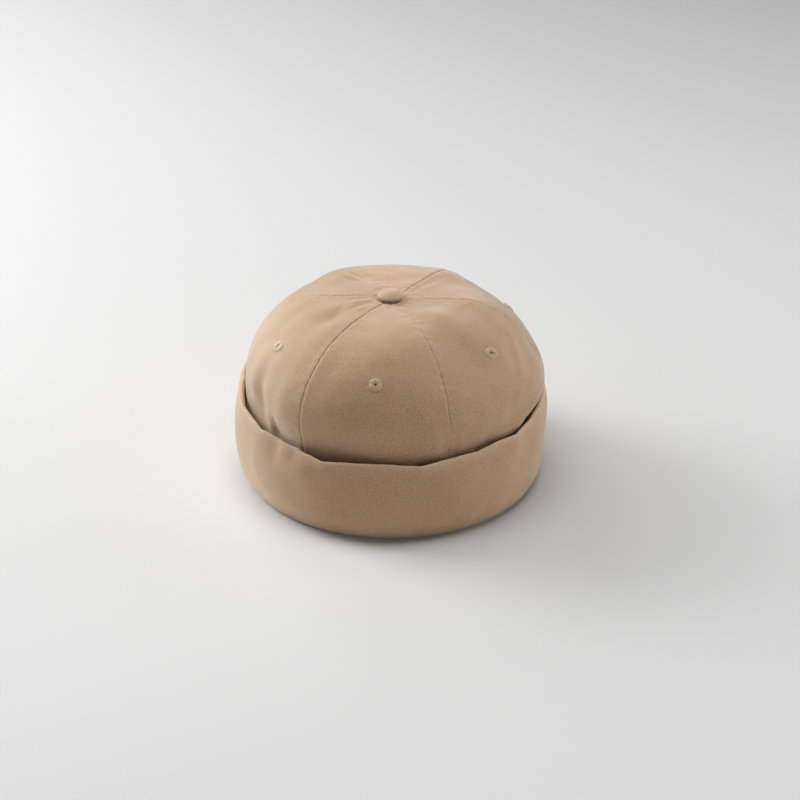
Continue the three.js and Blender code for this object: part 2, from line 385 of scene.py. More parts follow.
@dataclass
class Graph:
    """Nodes of one material."""

    name: str

    def __post_init__(self) -> None:
        """Start an empty material."""
        self.material = bpy.data.materials.new(self.name)
        self.material.use_nodes = True
        self.tree = self.material.node_tree
        self.tree.nodes.clear()

    def node(
        self, kind: str, settings: Values | None = None, inputs: Values | None = None
    ) -> bpy.types.Node:
        """Add a node.

        Args:
            kind: Type of the node.
            settings: Properties that are set before the sockets.
            inputs: Values or wires for sockets, by name or number.

        Returns:
            The node.
        """
        made = self.tree.nodes.new(kind)
        for key, value in (settings or {}).items():
            setattr(made, key, value)
        for key, value in (inputs or {}).items():
            if isinstance(value, Wire):
                self.tree.links.new(value.socket, made.inputs[key])
            else:
                made.inputs[key].default_value = value
        return made

    def out(
        self, kind: str, settings: Values | None = None, inputs: Values | None = None, key: str | int = 0
    ) -> Wire:
        """Wire from one output of a new node."""
        return Wire(self, self.node(kind, settings, inputs).outputs[key])

    def axes(self, place: Wire) -> list[Wire]:
        """The three values of a place."""
        split = self.node("ShaderNodeSeparateXYZ", None, {0: place})
        return [Wire(self, socket) for socket in split.outputs]

    def solid(self) -> Wire:
        """Place in the part's frame."""
        return self.out("ShaderNodeTexCoord", key="Object")

    def cloth(self) -> list[Wire]:
        """Place on the cloth map in metres: across, up and zero."""
        return self.axes(self.out("ShaderNodeUVMap", {"uv_map": UV_NAME}))

    def blend(self, share: Wire | float, first: Wire | Colour, second: Wire | Colour) -> Wire:
        """Colour between first, at share 0, and second, at share 1."""
        # The Mix node takes colours at its inputs 6 and 7 and gives one at its output 2.
        settings = {"data_type": "RGBA", "clamp_factor": True}
        return self.out("ShaderNodeMix", settings, {0: share, 6: first, 7: second}, 2)

    def noise(self, where: Wire, scale: float, detail: float = 2.0) -> Wire:
        """Cloudy value from 0 to 1."""
        inputs = {"Vector": where, "Scale": scale, "Detail": detail}
        return self.out("ShaderNodeTexNoise", None, inputs, "Fac")

    def mark(self, mark: Mark) -> Wire:
        """Value kept at the points of the mesh."""
        return self.out("ShaderNodeAttribute", {"attribute_name": mark.value}, None, "Fac")

    def bump(self, height: Wire, depth: float, strength: float = 1.0) -> Wire:
        """Normal bent by a height."""
        inputs = {"Strength": strength, "Distance": depth, "Height": height}
        return self.out("ShaderNodeBump", None, inputs)

    def finish(self, inputs: Values) -> Material:
        """The material, with a Principled shader of these inputs on its surface."""
        self.node("ShaderNodeOutputMaterial", None, {0: self.out("ShaderNodeBsdfPrincipled", None, inputs)})
        return self.material


@dataclass(frozen=True)
class Twill:
    """Cotton twill: slanting ribs of yarn, paler along scuffed edges and where a highlight is painted,
    darker in seams and where shade is painted, with painted light on the left side and the top.
    """

    slot: Slot
    face: Colour
    groove: Colour
    # Colour of the scuff-and-highlight mark: scuffing, and painted highlight on edges.
    scuff_highlight_colour: Colour = (0.76, 0.58, 0.42, 1.0)
    # Colour of the shade mark: dark seam lines, and painted shade at the cuff's foot and round the button's
    # rim.
    seam: Colour = (0.13, 0.072, 0.038, 1.0)
    # Painted light: paler colours and a fainter weave towards the left side.
    lit_side_face: Colour = (0.655, 0.46, 0.292, 1.0)
    lit_side_groove: Colour = (0.48, 0.33, 0.206, 1.0)
    lit_side_range: Span = (-30 * MM, -80 * MM)
    # Painted light: a fainter weave towards the top.
    lit_top_range: Span = (114 * MM, 124 * MM)
    lit_side_loss: float = 0.4
    lit_top_loss: float = 0.5
    relief: float = 1.2
    rib_pitch: float = 1.15 * MM
    rib_lean: float = 33.0
    rib_depth: float = 0.13 * MM
    rib_drift: float = 0.5 * MM
    drift_scale: float = 260.0
    float_length: float = 2.3 * MM
    float_step: float = 0.38
    float_share: float = 0.38
    slub_scale: float = 1500.0
    slub_detail: float = 1.0
    slub_shift: float = 1.8
    slub_height: float = 0.5
    cloud_scale: float = 34.0
    cloud_detail: float = 3.0
    weave_tone: float = 0.7
    weave_middle: float = 0.79
    cloud_tone: float = 0.25
    base_tone: float = 0.47
    scuff_and_highlight_base: float = 0.55
    scuff_and_highlight_slub: float = 0.6
    roughness: float = 0.82
    cloud_roughness: float = 0.12
    gloss: float = 0.25
    fuzz: float = 0.8
    fuzz_roughness: float = 0.45
    fuzz_tint: Colour = (1.0, 0.97, 0.92, 1.0)

    def material(self) -> Material:
        """Twill from the piece's cloth map.

        The rib height is a raised cosine across the ribs, with yarn floats that shift from rib to rib.
        Broad and fine clouds vary the colour. The scuff-and-highlight mark pales it, partly as scuffing and
        partly as painted highlight, and the shade mark darkens it at seams and with painted shade. Painted
        light pales the colour and fades the weave on the left side, and fades the weave on the top.

        Returns:
            The material.
        """
        graph = Graph(f"tan_{self.slot.value}")
        solid = graph.solid()
        side, up, _ = graph.cloth()
        side = side + graph.noise(solid, self.drift_scale) * self.rib_drift
        lean = math.radians(self.rib_lean)
        ribs = (side * math.cos(lean) + up * math.sin(lean)) * (1 / self.rib_pitch)
        run = (up * math.cos(lean) - side * math.sin(lean)) * (1 / self.float_length)
        slub = graph.noise(solid, self.slub_scale, self.slub_detail)
        yarn = (run + ribs.nearest() * self.float_step + slub * self.slub_shift).wave()
        weave = ribs.wave() * (1 - self.float_share + self.float_share * yarn)
        cloud = graph.noise(solid, self.cloud_scale, self.cloud_detail)
        x, _, z = graph.axes(solid)
        lit_side = x.ramp(*self.lit_side_range)
        # Painted light on the left side: paler colour and a fainter weave.
        lit_top = z.ramp(*self.lit_top_range)
        # Painted light on the top: a fainter weave.
        relief = (1 - self.lit_top_loss * lit_top) * (1 - self.lit_side_loss * lit_side) * self.relief
        fine = (weave * self.weave_tone + slub - self.weave_middle) * relief
        thick = fine + cloud * self.cloud_tone + self.base_tone
        own_tone = graph.blend(thick, self.groove, self.face)
        tone = graph.blend(lit_side, own_tone, graph.blend(thick, self.lit_side_groove, self.lit_side_face))
        # Scuffing and painted highlight pale the colour.
        scuffs_and_highlights = graph.mark(Mark.WEAR) * (self.scuff_and_highlight_base + self.scuff_and_highlight_slub * slub)
        scuffed_and_highlit = graph.blend(scuffs_and_highlights, tone, self.scuff_highlight_colour)
        return graph.finish(
            {
                "Base Color": graph.blend(graph.mark(Mark.SHADE), scuffed_and_highlit, self.seam),
                "Roughness": self.roughness + self.cloud_roughness * cloud,
                "Normal": graph.bump((weave + slub * self.slub_height) * relief, self.rib_depth),
                "Specular IOR Level": self.gloss,
                "Sheen Weight": self.fuzz,
                "Sheen Roughness": self.fuzz_roughness,
                "Sheen Tint": self.fuzz_tint,
            }
        )


@dataclass(frozen=True)
class Thread:
    """Embroidery thread: fine strands across the stitch, a soft gloss and a pale colour."""

    slot: Slot
    crown: Colour
    hollow: Colour
    # Painted light: paler thread towards the left side.
    lit_side: Colour = (0.86, 0.68, 0.5, 1.0)
    lit_side_range: Span = (0.0, -75 * MM)
    lit_side_loss: float = 0.55
    lit_side_dip: float = 0.5
    strand_pitch: float = 0.16 * MM
    strand_depth: float = 0.05 * MM
    strand_strength: float = 0.5
    strand_scale: float = 2400.0
    strand_shade: float = 0.25
    roughness: float = 0.55
    dip_roughness: float = 0.2
    gloss: float = 0.3
    fuzz: float = 0.3
    fuzz_roughness: float = 0.4

    def material(self) -> Material:
        """Thread from the ring's cloth map: strands run along the stitches, with painted shade in the dips
        and the hole, and painted light paling the thread on the left side.

        Returns:
            The material.
        """
        graph = Graph(f"tan_{self.slot.value}")
        solid = graph.solid()
        strand = (graph.cloth()[0] * (1 / self.strand_pitch) + graph.noise(solid, self.strand_scale)).wave()
        dip = graph.mark(Mark.SHADE)
        lit_side = graph.axes(solid)[0].ramp(*self.lit_side_range)
        shaded = (dip + (1 - strand) * self.strand_shade) * (1 - self.lit_side_loss * lit_side)
        plain = graph.blend(shaded, self.crown, self.hollow)
        pale = graph.blend(dip * self.lit_side_dip, self.lit_side, self.hollow)
        return graph.finish(
            {
                "Base Color": graph.blend(lit_side, plain, pale),
                "Roughness": self.roughness + self.dip_roughness * dip,
                "Normal": graph.bump(strand, self.strand_depth, self.strand_strength),
                "Specular IOR Level": self.gloss,
                "Sheen Weight": self.fuzz,
                "Sheen Roughness": self.fuzz_roughness,
            }
        )


CROWN_TWILL = Twill(Slot.CROWN, (0.645, 0.415, 0.25, 1.0), (0.31, 0.184, 0.103, 1.0))
CUFF_TWILL = Twill(
    Slot.CUFF, (0.665, 0.42, 0.252, 1.0), (0.325, 0.188, 0.105, 1.0), fuzz_tint=(1.0, 0.89, 0.75, 1.0)
)
BUTTON_TWILL = Twill(
    Slot.BUTTON,
    (0.67, 0.44, 0.28, 1.0),
    (0.44, 0.28, 0.168, 1.0),
    scuff_highlight_colour=(0.72, 0.54, 0.39, 1.0),
    relief=0.8,
)
EYELET_THREAD = Thread(Slot.EYELET, (0.74, 0.52, 0.35, 1.0), (0.30, 0.18, 0.105, 1.0))


def dress(piece: Piece, material: Material, node: str) -> None:
    """Give a piece its finish and let it stand for a CAD node.

    Args:
        piece: The new piece.
        material: Material made from the finish.
        node: CAD node that the piece replaces.
    """
    piece.data.materials.append(material)
    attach(piece, "root")
    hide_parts(node)
    LOG.info("%s: %d faces", piece.name, len(piece.data.polygons))


@dataclass(frozen=True)
class Seam:
    """Join of two panels: its angle, how strongly it shows, and where it lies flat or grows faint."""

    angle: float
    strength: float
    flat_to: float = 6 * MM
    flat_share: float = 0.25
    flat_ease: float = 0.6
    faint_from: float = 190 * MM
    faint_share: float = 0.35
    faint_ease: float = 1.14

    def shown(self, down: Array) -> Array:
        """How strongly the seam shows: it eases up from flat, and down again where it grows faint.

        Args:
            down: Lengths of cloth down from the button hole.

        Returns:
            Shares of a full seam.
        """
        risen = smooth(down, self.flat_ease * self.flat_to, self.flat_to)
        lost = smooth(down, self.faint_from, self.faint_ease * self.faint_from)
        seen = self.flat_share + (1 - self.flat_share) * risen
        return self.strength * seen * (1 - (1 - self.faint_share) * lost)


@dataclass(frozen=True)
class Panel:
    """One wedge of the crown: its seams and its eyelet's place."""

    name: str
    start: Seam
    end: Seam
    eyelet_angle: float
    eyelet_down: float


FRONT_LEFT_SEAM = Seam(-30, 0.8)
FRONT_RIGHT_SEAM = Seam(30, 0.55, 52 * MM, faint_from=104 * MM)
RIGHT_SEAM = Seam(94, 0.45, 20 * MM)
BACK_RIGHT_SEAM = Seam(150, 0.7, 16 * MM)
BACK_LEFT_SEAM = Seam(210, 0.3, 20 * MM)
LEFT_SEAM = Seam(266, 0.5, 18 * MM)


@dataclass
class Crown:
    """Six twill wedges from the button down into the cuff, with seams, folds and gathers."""

    panels: tuple[Panel, ...] = (
        Panel("front", FRONT_LEFT_SEAM, FRONT_RIGHT_SEAM, 0, 83.8 * MM),
        Panel("front_right", FRONT_RIGHT_SEAM, RIGHT_SEAM, 61.3, 78.2 * MM),
        Panel("back_right", RIGHT_SEAM, BACK_RIGHT_SEAM, 122, 90 * MM),
        Panel("back", BACK_RIGHT_SEAM, BACK_LEFT_SEAM, 180, 90 * MM),
        Panel("back_left", BACK_LEFT_SEAM, LEFT_SEAM, 238, 90 * MM),
        Panel("front_left", LEFT_SEAM, replace(FRONT_LEFT_SEAM, angle=330), 301.8, 80.2 * MM),
    )
    # Outer face along a seam, in millimetres: radius, height.
    profile: Rows = (
        (92.3, 2.9), (92.3, 28.0), (92.3, 50.0), (93.4, 66.0), (93.0, 80.0), (89.2, 91.5),
        (82.6, 101.5), (73.5, 109.8), (61.5, 116.5), (45.0, 120.8), (28.0, 122.4), (12.0, 122.6),
        (2.6, 122.0),
    )
    # Angle, millimetres down from the button hole, spread in degrees, spread in millimetres, out.
    broad_folds: Rows = (
        (94, 54, 14, 24, 2.4), (96, 110, 18, 14, 2.4), (128, 70, 19, 26, -2.0), (150, 52, 14, 20, 3.2),
        (174, 62, 22, 24, -0.3), (182, 30, 28, 16, -1.3), (-142, 60, 22, 20, 1.7),
        (-94, 56, 13, 24, 0.9), (-67, 138, 24, 24, 3.6), (-63, 129, 8, 10, -3.2),
        (-43, 137, 9, 8, -2.4), (-68, 76, 18, 26, -1.0), (-116, 68, 16, 26, -2.0),
        (-105, 17, 42, 12, 0.7), (-100, 33, 26, 14, -1.0), (-55, 43, 11, 14, -3.0),
        (-10, 138, 18, 19, -3.4), (41, 137, 17, 9, -2.2), (4, 54, 20, 26, 2.2), (24, 48, 12, 22, 1.1),
        (50, 36, 18, 12, 2.6), (46, 74, 15, 24, -3.8), (60, 134, 7, 6, 3.0), (65, 130, 4, 4, 2.6),
        (70, 127, 4.5, 4, 3.2), (76, 124.5, 5, 4.2, 2.2), (84, 114, 17, 12, 3.4),
        (82, 121.5, 13, 5, 3.4), (102, 121, 12, 8, 1.8), (-31, 112, 10, 26, 2.4),
        (-41, 110, 8, 24, 1.6), (-12, 82, 8, 26, 0.4), (-54, 125, 6.8, 15, -1.5), (22, 124, 5, 12, 0.8),
        (30, 129, 4, 7, -0.9),
    )
    # Angle, millimetres down, turn, and millimetres of width, length and out.
    fine_folds: Rows = (
        (-57, 117, 7, 6.5, 17, -2.7), (-48.4, 128, 4, 3.0, 9, 0.6), (-44.6, 128, 3, 3.0, 8, -1.7),
        (-80, 20, 0, 1.6, 9, -0.35), (-69, 20, 0, 1.6, 9, 0.35), (-56, 22, 0, 1.8, 10, -0.4),
        (-45, 20, 0, 1.6, 9, 0.3), (-64, 128, -6, 3.6, 14, 0.6), (5, 11, 0, 1.5, 6, -0.4),
        (21, 14, 0, 1.6, 7, -0.45), (42, 12, 0, 1.4, 6, -0.35), (73, 93, -38, 4.0, 26, 0.7),
        (70, 95, -38, 4.5, 24, -0.6), (139, 30, 6, 2.4, 18, -0.6), (-141, 40, 10, 1.7, 9, -1.1),
        (-133, 38, 16, 1.9, 9, -0.9), (-148, 36, 4, 1.9, 8, -0.6), (-126, 40, 50, 7.0, 14, -1.2),
        (-66, 30, 40, 3.2, 14, -0.7), (-74, 60, 30, 5.0, 18, -0.6), (28, 128, 5, 2.2, 8, -0.5),
        (35, 127, 8, 2.4, 9, 0.5), (24, 127, -6, 2.4, 8, 0.4),
    )
    cloth: float = 1.5 * MM
    puff: float = 0.7 * MM
    puff_fade_top: float = 30 * MM
    puff_fade: Span = (50 * MM, 80 * MM)
    hidden_share: float = 0.27
    hidden_rows: int = 14
    seen_rows: int = 176
    columns: int = 104
    curve_places: int = 1201
    # Density of points round seams and eyelets, over degrees or shares of the length.
    seam_columns: Bell = Bell(7.0, 0.0, 2.6)
    eyelet_columns: Bell = Bell(5.0, 0.0, 2.6)
    eyelet_rows: Bell = Bell(2.0, 0.0, 0.02)
    seam_depth: float = 0.6 * MM
    seam_width: float = 0.32 * MM
    seam_power: float = 1.3
    seam_wander: Ripples = Ripples(37, 8 * MM, 30 * MM, 0.2 * MM)
    # Paler cloth beside each seam: scuffing of the pressed edge, and a painted highlight.
    seam_scuff_and_highlight: Bell = Bell(0.22, 1.1 * MM, 0.7 * MM)
    seam_shade: Bell = Bell(0.75, 0.0, 0.27 * MM)
    shade_patches: Ripples = Ripples(91, 4 * MM, 16 * MM, 0.6)
    shade_middle: float = 0.55
    shade_least: float = 0.1
    pressed: Bell = Bell(0.22 * MM, 2.2 * MM, 1.5 * MM)
    pucker_height: float = 0.17 * MM
    pucker_span: float = 7.5 * MM
    pucker_reach: float = 6 * MM
    pucker_sway: Ripples = Ripples(23, 10 * MM, 40 * MM, 2.2)
    gather: Bell = Bell(0.14 * MM, 10 * MM, 7 * MM)
    gather_count: int = 15
    gather_sway: Ripples = Ripples(5, 9 * MM, 22 * MM, 2.6)
    crumple: Ripples = Ripples(11, 14 * MM, 46 * MM, 0.24 * MM)
    crumple_fade: Span = (6 * MM, 30 * MM)
    hem_fade: Span = (19 * MM, 32 * MM)
    hole_half: float = 0.9 * MM
    hole_radius: float = 80 * MM
    seat_turn: float = 2.5
    seat_rise: float = 0.02
    _curve: Array = field(init=False, repr=False)

    def __post_init__(self) -> None:
        """Lay out the seam profile by length: length from the lower edge, radius, height, normal."""
        points = spline(np.array(self.profile) * MM, np.linspace(0, 1, self.curve_places))
        steps = np.linalg.norm(np.diff(points, axis=0), axis=1)
        length = np.concatenate([[0], np.cumsum(steps)])
        along = np.gradient(points, axis=0)
        along /= np.linalg.norm(along, axis=1, keepdims=True)
        self._curve = np.column_stack([length, points, along[:, 1], -along[:, 0]])

    @property
    def length(self) -> float:
        """Length of cloth from the lower edge to the button hole."""
        return float(self._curve[-1, 0])

    def base(self, share: Array) -> tuple[Array, ...]:
        """Radius, height and outward normal of the seam profile at shares of its length."""
        at = share * self.length
        return tuple(np.interp(at, self._curve[:, 0], self._curve[:, k]) for k in range(1, 5))

    def nearest_seam(self, panel: Panel, angle: Array, share: Array) -> tuple[Array, Array, Array]:
        """Distance to the nearest seam, how strongly that seam shows, and its angle.

        Args:
            panel: The wedge.
            angle: Angles of the points.
            share: Shares of the length from the lower edge.

        Returns:
            Three arrays like angle.
        """
        first = (angle - panel.start.angle) <= (panel.end.angle - angle)
        seam = np.where(first, panel.start.angle, panel.end.angle)
        down = self.length * (1 - share)
        strength = np.where(first, panel.start.shown(down), panel.end.shown(down))
        return np.radians(np.abs(angle - seam)) * self.base(share)[0], strength, seam

    def shift(self, panel: Panel, angle: Array, share: Array) -> Array:
        """Outward shift of the cloth from the seam profile.

        The panel swells as a cosine between its seams. Broad bells and narrow ridges fold it, and cosines
        gather it round the button. A narrow well sinks it into each seam beside a pressed ridge, and waves
        pucker it there.

        Args:
            panel: The wedge.
            angle: Angles of the points.
            share: Shares of the length from the lower edge.

        Returns:
            The shift in metres.
        """
        radius, height, _, _ = self.base(share)
        down = self.length * (1 - share)
        across = (2 * angle - panel.start.angle - panel.end.angle) / (panel.end.angle - panel.start.angle)
        to_seam, strength, _ = self.nearest_seam(panel, angle, share)
        place = around(angle, radius, height)
        free = smooth(self.length - down, *self.hem_fade)
        out = self.puff * np.cos(across * np.pi / 2) * smooth(down, 0, self.puff_fade_top)
        out = out * smooth(self.length - down, *self.puff_fade)
        broad = sum(Swell(*row).at(angle, down / MM) for row in self.broad_folds)
        fine = sum(Crease(*row).at(angle, down / MM, radius / MM) for row in self.fine_folds)
        out = out + free * (broad + fine) * MM
        out = out + self.crumple.at(place) * smooth(down, *self.crumple_fade) * free
        gather = np.cos(np.radians(angle) * self.gather_count + self.gather_sway.at(place))
        out = out + self.gather.at(down) * gather
        pucker = np.cos(2 * np.pi * down / self.pucker_span + self.pucker_sway.at(place))
        out = out + self.pucker_height * pucker * np.exp(-to_seam / self.pucker_reach) * free
        well = self.seam_depth * np.exp(-((to_seam / self.seam_width) ** self.seam_power))
        return out + free * strength * (self.pressed.at(to_seam) - well)

    def surface(self, panel: Panel, angle: Array, share: Array, depth: float) -> Array:
        """Points of a panel: the seam profile moved along its normal, then carried round the cap.

        Beside a seam the cloth also wanders along the angle, the same for both panels.

        Args:
            panel: The wedge.
            angle: Angles of the points.
            share: Shares of the length from the lower edge.
            depth: Distance in from the outer face.

        Returns:
            The points.
        """
        radius, height, normal_out, normal_up = self.base(share)
        out = self.shift(panel, angle, share) - depth
        to_seam, _, seam = self.nearest_seam(panel, angle, share)
        wander = self.seam_wander.at(around(seam, radius, height))
        aside = np.degrees(wander / radius) * np.exp(-to_seam / self.pucker_reach)
        return around(angle + aside, radius + out * normal_out, height + out * normal_up)

    def seat(self, panel: Panel) -> Pair:
        """Seat of a panel's eyelet, from five points of the cloth about it.

        Args:
            panel: The wedge.

        Returns:
            Its place, and its axes across, up and out of the cloth as rows.
        """
        share = 1 - panel.eyelet_down / self.length
        turn = self.seat_turn * np.array([0, 1, -1, 0, 0])
        rise = self.seat_rise * np.array([0, 0, 0, 1, -1])
        at = self.surface(panel, panel.eyelet_angle + turn, share + rise, 0.0)
        up = at[3] - at[4]
        up /= np.linalg.norm(up)
        outward = np.cross(at[1] - at[2], up)
        outward /= np.linalg.norm(outward)
        return at[0], np.array([np.cross(up, outward), up, outward])

    def panel_piece(self, panel: Panel) -> Piece:
        """Closed cloth wedge on a grid of share up by angle across, close-set at its seams and its eyelet.

        Args:
            panel: The wedge.

        Returns:
            The object.
        """
        start, end = panel.start.angle, panel.end.angle
        eyelet_share = 1 - panel.eyelet_down / self.length
        hidden = np.linspace(0, self.hidden_share, self.hidden_rows, endpoint=False)
        seen = spaced(self.seen_rows, self.hidden_share, 1, [self.eyelet_rows.moved(eyelet_share)])
        rows = np.concatenate([hidden, seen])
        peaks = [self.seam_columns.moved(seam) for seam in (start, end)]
        peaks.append(self.eyelet_columns.moved(panel.eyelet_angle))
        columns = spaced(self.columns, start, end, peaks)
        share, angle = np.meshgrid(rows, columns, indexing="ij")
        radius, height, _, _ = self.base(share)
        outer = self.surface(panel, angle, share, 0.0)
        inner = self.surface(panel, angle, share, self.cloth)
        uv = np.stack([np.radians(angle - (start + end) / 2) * radius, share * self.length], axis=-1)
        to_seam, strength, seam = self.nearest_seam(panel, angle, share)
        patchy = self.shade_middle + self.shade_patches.at(around(seam, radius, height))
        marks = {
            Mark.WEAR: self.seam_scuff_and_highlight.at(to_seam) * strength,
            Mark.SHADE: self.seam_shade.at(to_seam) * strength * np.clip(patchy, self.shade_least, 1),
        }
        hole_turn = math.degrees(self.hole_half / self.hole_radius)
        up = np.flatnonzero(np.abs(rows - eyelet_share) < self.hole_half / self.length)
        over = np.flatnonzero(np.abs(columns - panel.eyelet_angle) < hole_turn)
        hole = slice(up[0], up[-1]), slice(over[0], over[-1])
        return closed_sheet(f"crown_panel_{panel.name}", outer, inner, uv, marks, hole)

    def build(self) -> None:
        """Make and dress the six panels."""
        material = CROWN_TWILL.material()
        for panel in self.panels:
            dress(self.panel_piece(panel), material, f"panel_{panel.name}")

    def declare_cloth(self) -> None:
        """Does nothing: no cut of the panels is stated."""


@dataclass
class Cuff:
    """Doubled band turned up round the cap, with a kinked upper fold and a hem inside the crown."""

    # Kinks of the upper fold: angle, and millimetres of radius and height.
    kinks: Rows = (
        (-67, 101.4, 59.4), (-49.6, 100.2, 56.6), (-19.6, 100.0, 53.2), (17.6, 99.6, 54.6),
        (40, 97.0, 55.5), (60, 99.8, 56.8), (70, 100.9, 58.4), (78, 101.0, 61.4), (90, 100.2, 63.2),
        (104, 100.6, 62.0), (122, 101.6, 59.6), (146, 101.8, 59.2), (174, 101.8, 59.6),
        (202, 101.8, 59.6), (230, 102.4, 59.8), (262, 103.0, 60.0),
    )
    # Outer face: share of the height, millimetres of radius.
    wall: Rows = (
        (0.0, 93.6), (0.04, 97.1), (0.14, 100.4), (0.34, 102.8), (0.62, 103.0), (0.86, 101.5),
        (0.97, 100.1),
    )
    # Trough, hem and foot inside the wall, in millimetres: radius, height.
    trough: Rows = (
        (94.2, 2.6), (90.5, 2.6), (90.5, 19.5), (90.2, 20.0), (89.6, 20.0), (89.3, 19.5), (89.3, 1.6),
        (90.4, 0.0),
    )
    # Angle, share of the height, spread in degrees, spread in share, millimetres out.
    soft_creases: Rows = (
        (-40.5, 0.74, 7, 0.2, -1.1), (-12, 0.8, 8, 0.18, -0.7), (66, 0.78, 7, 0.22, -1.1),
        (-84, 0.86, 8, 0.16, -0.8), (-51, 0.7, 3, 0.22, 0.5), (-38, 0.84, 2.5, 0.12, 0.4),
        (60, 0.86, 3, 0.14, 0.5), (-88, 0.94, 2.5, 0.06, -0.8), (-97, 0.94, 2.5, 0.06, -0.7),
        (97, 0.45, 35, 0.38, -1.9), (-40.5, 0.9, 2.8, 0.1, -0.9), (-31.4, 0.91, 2.4, 0.09, -0.8),
        (-27, 0.86, 3, 0.12, 0.4),
    )
    # Small teeth of the upper fold: angle, spread in degrees, millimetres up.
    teeth: Rows = (
        (-47.5, 1.3, 0.8), (-31, 1.4, 0.9), (-24.5, 1.0, 0.4), (33, 1.2, 0.4), (41, 1.5, -0.4),
    )
    thickness: float = 2.6 * MM
    chord_share: float = 0.55
    chord_rise: float = 0.25
    edge_radius: float = 99.6 * MM
    edge_level: float = 50 * MM
    edge_wander: Ripples = Ripples(61, 11 * MM, 46 * MM, 0.25 * MM)
    foot_power: float = 1.25
    crumple: Ripples = Ripples(41, 16 * MM, 60 * MM, 0.3 * MM)
    crumple_fade: Span = (0.02, 0.2)
    kink_share: float = 0.78
    kink_spread: float = 9.0
    # Painted shade at the foot, darkest at the floor.
    foot_shade: float = 0.7
    foot_shade_height: float = 12 * MM
    roll: Bell = Bell(1.5 * MM, 0.0, 30.0)
    roll_angle: float = -82.0
    roll_rise: float = 0.3
    roll_fade: Span = (0.4, 0.9)
    inside_foot: float = 0.1
    # Scuffing and a painted highlight on the upper fold, over rows of points past the wall.
    fold_scuff_and_highlight: Bell = Bell(0.6, 4.2, 6.0)
    columns: int = 640
    wall_rows: int = 64
    edge_rows: int = 12
    inside_rows: int = 26

    def upper_fold(self, angle: Array) -> Pair:
        """Upper fold: chords between kinks, partly drawn in and lifted, with slow waves and small teeth.

        Args:
            angle: Angles round the cap.

        Returns:
            Radius and height at each angle.
        """
        rows = np.array(self.kinks) * np.array([1, MM, MM])
        rows = np.vstack([rows, rows[0] + np.array([360, 0, 0])])
        swept = (angle - rows[0, 0]) % 360 + rows[0, 0]
        low = np.clip(np.searchsorted(rows[:, 0], swept, side="right") - 1, 0, len(rows) - 2)
        start, start_radius, start_height = rows[low].T
        end, end_radius, end_height = rows[low + 1].T
        part = (swept - start) / (end - start)
        before, after = np.radians(swept - start), np.radians(end - swept)
        full = start_radius + (end_radius - start_radius) * part
        spread = start_radius * np.sin(before) + end_radius * np.sin(after)
        drawn_in = full - start_radius * end_radius * np.sin(before + after) / spread
        height = start_height + (end_height - start_height) * part + self.chord_rise * drawn_in
        height = height + self.edge_wander.at(around(angle, self.edge_radius, self.edge_level))
        for middle, reach, rise in self.teeth:
            height = height + Bell(rise * MM, 0.0, reach).at(turned_from(angle, middle))
        return full - self.chord_share * drawn_in, height

    def outer_face(self, angle: Array, share: Array, edge: Pair) -> Pair:
        """Radius and height of the outer face: the wall's spline, the fold's plan, creases and waves.

        Args:
            angle: Angles of the points.
            share: Shares of the height.
            edge: Radius and height of the upper fold at each angle.

        Returns:
            Two grids, share by angle.
        """
        table = np.array(self.wall)
        rows = np.interp(share, table[:, 0], np.linspace(0, 1, len(table)))
        radius = spline(table[:, 1:] * MM, rows)[..., 0]
        sharp, edge_height = edge
        # Below the fold, each wave round the cap keeps a share that is a bell in its number.
        waves = np.fft.fftfreq(len(sharp), 1 / len(sharp)) * math.radians(self.kink_spread)
        eased = np.real(np.fft.ifft(np.fft.fft(sharp) * np.exp(-(waves**2) / 2)))
        plan = eased + (sharp - eased) * smooth(share, self.kink_share, 1.0)
        radius = radius + (plan - self.edge_radius) * share**2
        radius = radius + MM * sum(Swell(*row).at(angle, share) for row in self.soft_creases)
        height = share * edge_height
        crumple = self.crumple.at(around(angle, radius, height))
        return radius + crumple * smooth(share, *self.crumple_fade), height

    def section(self, angle: Array) -> Pair:
        """Radius and height of the section at each angle: wall, fold, inside, trough and hem.

        Args:
            angle: Angles round the cap.

        Returns:
            Two grids, place in the section by angle.
        """
        edge = self.upper_fold(angle)
        top_share = self.wall[-1][0]
        share = np.linspace(0, 1, self.wall_rows)[:, None] ** self.foot_power * top_share
        wall = self.outer_face(angle[None, :], share, edge)
        turn = np.linspace(0, np.pi, self.edge_rows + 2)[1:-1, None]
        roll = self.roll.at(turned_from(angle, self.roll_angle))
        half = (self.thickness + roll) / 2
        top_radius, top_height = wall[0][-1], wall[1][-1]
        crest = edge[1] - top_height + self.roll_rise * roll
        fold = (top_radius - half + half * np.cos(turn), top_height + crest * np.sin(turn))
        back = np.linspace(top_share, self.inside_foot, self.inside_rows)[:, None]
        face, face_height = self.outer_face(angle[None, :], back, edge)
        inside = (face - self.thickness - roll * smooth(back, *self.roll_fade), face_height)
        trough = np.repeat(np.array(self.trough).T[..., None] * MM, len(angle), axis=-1)
        radius, height = (np.vstack(rows) for rows in zip(wall, fold, inside, trough))
        return radius, height

